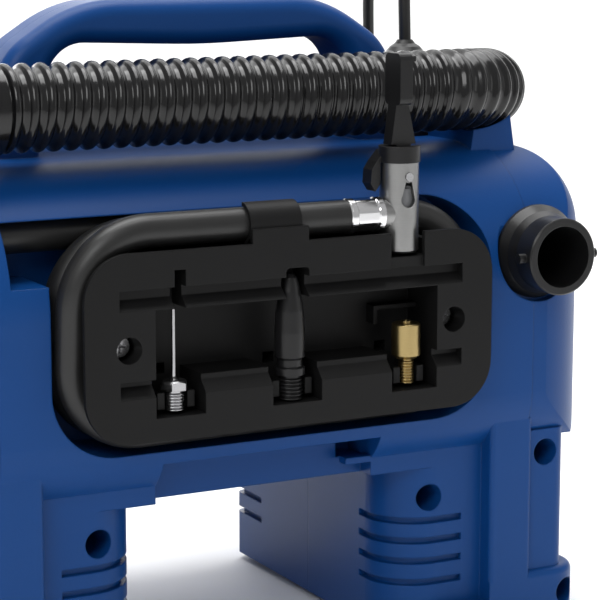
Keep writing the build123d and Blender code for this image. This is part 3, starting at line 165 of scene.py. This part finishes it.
class Finish:
    """One procedural material on the Principled shader."""

    def __init__(self, name, **plain):
        self.material = bpy.data.materials.new(name)
        self.material.use_nodes = True
        self.tree = self.material.node_tree
        self.tree.nodes.clear()
        plain = {key.replace("_", " "): value for key, value in plain.items()}
        self.shader = self.add("ShaderNodeBsdfPrincipled", {}, plain)
        out = self.add("ShaderNodeOutputMaterial", {}, {})
        self.tree.links.new(self.shader.outputs[0], out.inputs[0])
        self.where = self.add("ShaderNodeTexCoord", {}, {}).outputs["Object"]
        self.last_normal = None

    def add(self, kind, settings, values):
        """Make a node: its settings first, then a value or a link for each socket."""
        node = self.tree.nodes.new(kind)
        for key, value in settings.items():
            if key == "stops":
                stops = node.color_ramp.elements
                while len(stops) < len(value):
                    stops.new(0.5)
                for stop, (place, colour) in zip(stops, value):
                    stop.position = place
                    stop.color = colour
            else:
                setattr(node, key, value)
        for key, value in values.items():
            value = value.socket if isinstance(value, Number) else value
            if isinstance(value, bpy.types.NodeSocket):
                self.tree.links.new(value, node.inputs[key])
            else:
                node.inputs[key].default_value = value
        return node

    def feed(self, key, value):
        socket = value.socket if isinstance(value, Number) else value
        self.tree.links.new(socket, self.shader.inputs[key])

    def noise(self, per_metre, detail=2.0, stretch=(1, 1, 1)):
        place = self.add("ShaderNodeMapping", {}, {"Vector": self.where, "Scale": stretch}).outputs[0]
        node = self.add("ShaderNodeTexNoise", {}, {"Vector": place, "Scale": per_metre, "Detail": detail})
        return Number(self, node.outputs[0])

    def cells(self, per_metre):
        node = self.add("ShaderNodeTexVoronoi", {"feature": "F1"}, {"Vector": self.where, "Scale": per_metre})
        return Number(self, node.outputs["Distance"])

    def tint(self, mask, dark, light):
        """A colour that runs from dark to light as the mask goes from 0 to 1."""
        mix = self.add("ShaderNodeMix", {"data_type": "RGBA"}, {0: mask, 6: (*dark, 1), 7: (*light, 1)})
        self.feed("Base Color", mix.outputs[2])

    def round_edges(self, radius):
        self.last_normal = self.add("ShaderNodeBevel", {"samples": 4}, {"Radius": radius}).outputs[0]
        self.feed("Normal", self.last_normal)

    def bump(self, height, depth, strength=1.0):
        values = {"Height": height, "Distance": depth, "Strength": strength}
        if self.last_normal is not None:
            values["Normal"] = self.last_normal
        self.last_normal = self.add("ShaderNodeBump", {}, values).outputs[0]
        self.feed("Normal", self.last_normal)


# ================================================================ finishes
def moulded(name, dark, light, rough, grain_per_metre, grain_depth, edge=0.0, sheen=0.5):
    """Moulded plastic: slight shade changes and a spark-eroded grain."""
    finish = Finish(name, Specular_IOR_Level=sheen)
    cloud = finish.noise(9.0, 3.0)
    speck = finish.noise(grain_per_metre, 2.0)
    finish.tint(cloud * 0.7 + speck * 0.3, dark, light)
    finish.feed("Roughness", rough - 0.05 + cloud * 0.06 + speck * 0.05)
    if edge:
        finish.round_edges(edge)
    finish.bump(speck, grain_depth, 0.6)
    return finish.material


def body_blue():
    return moulded("blue_plastic", (0.0020, 0.039, 0.165), (0.0032, 0.047, 0.190), 0.37, 1500.0, 0.00005,
                   0.0009, 0.17)


def tray_black():
    return moulded("tray_plastic", (0.0048, 0.0048, 0.0050), (0.0070, 0.0070, 0.0072), 0.48, 1700.0, 0.00005,
                   0.0006, 0.16)


def black_plastic():
    return moulded("black_plastic", (0.0055, 0.0055, 0.006), (0.0085, 0.0085, 0.009), 0.32, 1400.0, 0.00004,
                   0.0004, 0.32)


def key_grey():
    return moulded("key_plastic", (0.20, 0.20, 0.21), (0.25, 0.25, 0.26), 0.45, 1600.0, 0.00003, 0.0005)


def grey_plastic():
    return moulded("grey_plastic", (0.105, 0.108, 0.115), (0.13, 0.134, 0.14), 0.42, 1500.0, 0.00004, 0.0005)


def nylon():
    return moulded("white_nylon", (0.60, 0.58, 0.52), (0.70, 0.68, 0.62), 0.48, 900.0, 0.00003, 0.0003)


def rubber(name, tone, rough, edge=0.0):
    finish = Finish(name, Specular_IOR_Level=0.42)
    dust = finish.noise(60.0, 4.0)
    fine = finish.noise(2600.0, 2.0)
    finish.tint(dust, (tone * 0.85,) * 3, (tone * 1.25,) * 3)
    finish.feed("Roughness", rough - 0.06 + dust * 0.12)
    if edge:
        finish.round_edges(edge)
    finish.bump(fine, 0.00003, 0.5)
    return finish.material


def hose_rubber():
    return rubber("hose_rubber", 0.0105, 0.40)


def foot_rubber():
    return rubber("foot_rubber", 0.018, 0.70, 0.0006)


def cord_pvc():
    return rubber("cord_pvc", 0.010, 0.36)


def volume_hose_pvc():
    """Glossy extruded vinyl."""
    finish = Finish("hose_vinyl", Specular_IOR_Level=0.40)
    smear = finish.noise(45.0, 3.0)
    finish.tint(smear, (0.0036, 0.0036, 0.0040), (0.0062, 0.0062, 0.0066))
    finish.feed("Roughness", 0.13 + smear * 0.08)
    finish.bump(finish.noise(420.0, 2.0), 0.00010, 0.25)
    return finish.material


def metal(name, dark, light, rough, brushed=(1, 1, 1), per_metre=700.0, depth=0.00002, edge=0.0003):
    finish = Finish(name, Metallic=1.0)
    stain = finish.noise(70.0, 4.0)
    brush = finish.noise(per_metre, 3.0, brushed)
    finish.tint(stain * 0.6 + brush * 0.4, dark, light)
    finish.feed("Roughness", rough - 0.05 + stain * 0.06 + brush * 0.08)
    if edge:
        finish.round_edges(edge)
    finish.bump(brush, depth, 0.5)
    return finish.material


def chuck_alloy():
    return metal("satin_alloy", (0.22, 0.22, 0.22), (0.33, 0.33, 0.325), 0.32, (1, 1, 14), 260.0, 0.00002,
                 0.0003)


def chrome():
    return metal("chrome", (0.70, 0.70, 0.71), (0.80, 0.80, 0.81), 0.14, (14, 1, 1), 200.0, 0.00001, 0.0002)


def steel():
    return metal("steel", (0.32, 0.32, 0.33), (0.46, 0.46, 0.47), 0.24, (1, 1, 12), 260.0, 0.00001, 0.0002)


def brass():
    return metal("brass", (0.30, 0.225, 0.095), (0.42, 0.32, 0.15), 0.30, (1, 1, 10), 300.0, 0.00002, 0.0003)


def motor_steel():
    return metal("motor_steel", (0.34, 0.34, 0.34), (0.44, 0.44, 0.44), 0.40, (12, 1, 1), 260.0)


def cylinder_alloy():
    return metal("cast_alloy", (0.46, 0.46, 0.47), (0.58, 0.58, 0.59), 0.48, (1, 1, 1), 900.0, 0.00006)


def board_green():
    finish = Finish("circuit_board", Specular_IOR_Level=0.5)
    tracks = finish.cells(420.0)
    finish.tint(tracks ** 2.0, (0.010, 0.075, 0.030), (0.030, 0.150, 0.060))
    finish.feed("Roughness", 0.32 + tracks * 0.10)
    return finish.material


def lens():
    finish = Finish("smoked_lens", Specular_IOR_Level=0.6, Coat_Roughness=0.05)
    haze = finish.noise(30.0, 2.0)
    finish.tint(haze, (0.012, 0.013, 0.016), (0.018, 0.020, 0.024))
    finish.feed("Roughness", 0.06 + haze * 0.05)
    return finish.material


FINISHES = {make.__name__: make() for make in (
    body_blue, tray_black, black_plastic, hose_rubber, volume_hose_pvc, cord_pvc, foot_rubber, chuck_alloy,
    chrome, brass, steel, grey_plastic, lens, board_green, motor_steel, cylinder_alloy, nylon, key_grey)}


def dress(piece, slot):
    piece.data.materials.clear()
    piece.data.materials.append(FINISHES[slot])


def dress_frame():
    for part in frame["record"]["subparts"]:
        node = NODES[part["node"]]
        for holder in node.material_slots:
            holder.material = FINISHES[part["material_slot"]]


# ================================================================ camera, floor and light
def camera():
    data = bpy.data.cameras.new("camera")
    data.lens = CAMERA_LENS
    data.sensor_width = 36.0
    eye = bpy.data.objects.new("camera", data)
    eye.location = CAMERA_AT
    eye.rotation_mode = "QUATERNION"
    eye.rotation_quaternion = Vector(CAMERA_LOOK).to_track_quat("-Z", "Y")
    bpy.context.scene.collection.objects.link(eye)
    bpy.context.scene.camera = eye


def floor():
    """A pale cove: a flat floor that sweeps up into a backdrop behind the object, across the view."""
    across = Vector((CAMERA_LOOK[1], -CAMERA_LOOK[0], 0)).normalized()
    away = Vector((CAMERA_LOOK[0], CAMERA_LOOK[1], 0)).normalized()
    profile = [(-COVE_BACK, 0.0), (COVE_BACK - COVE_R, 0.0)]
    for step in range(1, 13):
        angle = math.pi / 2 * step / 12
        profile.append((COVE_BACK - COVE_R + COVE_R * math.sin(angle), COVE_R * (1 - math.cos(angle))))
    profile.append((COVE_BACK, COVE_R + 2.0))
    bm = bmesh.new()
    rows = [[bm.verts.new(away * out + across * side + Vector((0, 0, up))) for side in (-4.0, 4.0)]
            for out, up in profile]
    for near, far in zip(rows, rows[1:]):
        bm.faces.new((near[0], near[1], far[1], far[0]))
    bmesh.ops.recalc_face_normals(bm, faces=bm.faces)
    mesh = bpy.data.meshes.new("floor")
    bm.to_mesh(mesh)
    bm.free()
    mesh.polygons.foreach_set("use_smooth", [True] * len(mesh.polygons))
    ground = bpy.data.objects.new("floor", mesh)
    bpy.context.scene.collection.objects.link(ground)
    finish = Finish("pale_floor", Specular_IOR_Level=0.1)
    finish.tint(finish.noise(0.5, 1.0), (0.90, 0.90, 0.90), (0.92, 0.92, 0.92))
    finish.feed("Roughness", 0.8 + finish.noise(3.0, 1.0) * 0.1)
    mesh.materials.append(finish.material)


def area_light(name, at, towards, size, power):
    data = bpy.data.lights.new(name, "AREA")
    data.shape = "RECTANGLE"
    data.size, data.size_y = size
    data.energy = power
    lamp = bpy.data.objects.new(name, data)
    lamp.location = at
    lamp.rotation_mode = "QUATERNION"
    lamp.rotation_quaternion = (Vector(towards) - Vector(at)).to_track_quat("-Z", "Y")
    bpy.context.scene.collection.objects.link(lamp)


def lights():
    world = bpy.data.worlds.new("studio")
    world.use_nodes = True
    world.node_tree.nodes["Background"].inputs["Color"].default_value = (1.0, 1.0, 1.0, 1)
    world.node_tree.nodes["Background"].inputs["Strength"].default_value = 0.45
    bpy.context.scene.world = world
    bpy.context.scene.view_settings.view_transform = "Standard"
    area_light("sweep", (1.4, 2.8, 2.8), (1.4, 2.8, 0.0), (5.0, 5.0), 140.0)
    area_light("key", (-1.2, -1.3, 1.5), (0.0, 0.0, 0.12), (1.0, 1.0), 17.0)
    area_light("top", (0.0, 0.1, 1.7), (0.0, 0.0, 0.0), (1.3, 1.0), 25.0)
    area_light("arch", (0.15, 1.1, 0.35), (0.0, 0.15, 0.0), (0.9, 0.4), 3.0)
    area_light("fill", (1.3, -1.1, 0.7), (0.05, 0.0, 0.12), (0.5, 1.1), 1.5)


# ================================================================ power cord
def coil_points():
    """Turns of the coil, row on row, each row running in or out through the columns."""
    stretch = 1 / math.cos(math.pi / COIL_STEPS)
    places = []
    for row in range(COIL_ROWS):
        columns = COIL_COLUMNS if row % 2 == 0 else COIL_COLUMNS[::-1]
        places += [(radius, (row + 0.5) * ROW_RISE + FLOOR_GAP) for radius in columns]
    points = []
    for turn in range(COIL_TURNS):
        here, there = places[turn], places[turn + 1]
        last = turn == COIL_TURNS - 1
        for step in range(COIL_STEPS - (LAST_TURN_SHORT if last else 0)):
            ahead = 0.0 if last else max(0.0, (step - COIL_STEPS + COIL_SHIFT) / COIL_SHIFT)
            radius = here[0] + (there[0] - here[0]) * ahead
            height = here[1] + (there[1] - here[1]) * ahead
            angle = math.tau * (step + 1) / COIL_STEPS
            points.append((COIL_CENTRE[0] + radius * stretch * math.cos(angle),
                           COIL_CENTRE[1] + radius * stretch * math.sin(angle), height))
    return points


def power_cord():
    route = CORD_ROUTE + coil_points() + PLUG_ROUTE
    data = bpy.data.curves.new("power_lead", "CURVE")
    data.dimensions = "3D"
    line = data.splines.new("NURBS")
    line.points.add(len(route) - 1)
    for point, place in zip(line.points, route):
        point.co = (*(Vector(place) * MM), 1.0)
        point.radius = CORD_D / 2
    line.order_u = 3
    line.use_endpoint_u = True
    line.resolution_u = 6
    data.bevel_depth = 1.0          # times the radius of each point
    data.bevel_resolution = 5
    data.use_fill_caps = True
    cord = bpy.data.objects.new("power_lead", data)
    bpy.context.scene.collection.objects.link(cord)
    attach(cord, "casing")
    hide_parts("power_cord", "cord_coil")
    dress(cord, "cord_pvc")


# ================================================================ corrugated hose
def corrugated_hose():
    """The hose is turned straight along X and then bent into its U."""
    low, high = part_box("volume_hose")
    start = low.x
    drop = Vector((0, high.y - low.y - 2 * TUBE_R, low.z - high.z + 2 * TUBE_R))
    reach = drop.length / 2
    tilt = math.atan2(-drop.z, drop.y)
    pivot = Vector((0, low.y + TUBE_R, high.z - TUBE_R))
    turn_x = high.x - reach - TUBE_R
    run = turn_x - start
    length = 2 * run + math.pi * reach
    count = round(length / RIB_PITCH)
    pitch = length / count
    swell = RIB_CREST - RIB_ROOT
    shape = [(0.00, 0.0), (0.20, 0.02), (0.26, 0.20), (0.33, 0.66), (0.42, 0.94), (0.52, 1.0), (0.62, 0.94),
             (0.71, 0.66), (0.78, 0.20), (0.84, 0.02)]
    points = []
    for rib in range(count):
        points += [((rib + along) * pitch, 0, RIB_ROOT + swell * rise) for along, rise in shape]
    points.append((length, 0, RIB_ROOT))
    points = [(0, 0, RIB_ROOT - 1.5 * MM)] + points + [(length, 0, RIB_ROOT - 1.5 * MM)]
    bm = bmesh.new()
    turned(bm, points, (0, 0, 0), (1, 0, 0), RIB_AROUND)
    for vert in bm.verts:
        along, side, up = vert.co
        along += RIB_SLANT * up * min(1.0, along / 0.02, (length - along) / 0.02)
        if along < run:
            vert.co = (start + along, -reach + side, up)
        elif along > run + math.pi * reach:
            vert.co = (turn_x - (along - run - math.pi * reach), reach - side, up)
        else:
            angle = (along - run) / reach
            out = reach - side
            vert.co = (turn_x + out * math.sin(angle), -out * math.cos(angle), up)
    move = Matrix.Translation(pivot) @ Matrix.Rotation(-tilt, 4, "X") @ Matrix.Translation((0, reach, 0))
    bm.transform(move)
    bmesh.ops.recalc_face_normals(bm, faces=bm.faces)
    hose = put(bm, "corrugated_hose")
    smooth(hose, 60)
    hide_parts("volume_hose")
    dress(hose, "volume_hose_pvc")


# ================================================================ hose ferrule
def ferrule():
    """The crimped connector: round collars, with flats pressed into the length between them."""
    low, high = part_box("hose_ferrule")
    axis_y, axis_z = (low.y + high.y) / 2, (low.z + high.z) / 2
    radius = (high.z - low.z) / 2
    half = [(0.0, 0.45, 0), (0.0, 0.93, 0), (FERRULE_EDGE, 1.0, 0), (FERRULE_COLLAR, 1.0, 0),
            (FERRULE_COLLAR + FERRULE_STEP, 0.95, 1)]
    rings = [(low.x + along, scale, flat) for along, scale, flat in half]
    rings += [(high.x - along, scale, flat) for along, scale, flat in reversed(half)]
    bm = bmesh.new()
    loops = []
    for x, scale, flat in rings:
        loop = []
        for step in range(FERRULE_STEPS):
            angle = math.tau * step / FERRULE_STEPS
            out = radius * scale
            if flat:
                side = math.tau / FERRULE_FLATS
                out = min(out, radius * FLAT_DEPTH / math.cos((angle + side / 2) % side - side / 2))
            loop.append(bm.verts.new((x, axis_y + out * math.cos(angle), axis_z + out * math.sin(angle))))
        loops.append(loop)
    for near, far in zip(loops, loops[1:]):
        for step in range(FERRULE_STEPS):
            after = (step + 1) % FERRULE_STEPS
            bm.faces.new((near[step], near[after], far[after], far[step]))
    for loop in (loops[0], loops[-1]):
        bm.faces.new(loop)
    bmesh.ops.recalc_face_normals(bm, faces=bm.faces)
    piece = put(bm, "crimped_ferrule")
    smooth(piece, 25)
    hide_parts("hose_ferrule")
    dress(piece, "chrome")


# ================================================================ build
camera()
power_cord()
dress_frame()
corrugated_hose()
ferrule()
floor()
lights()

bpy.context.view_layer.update()
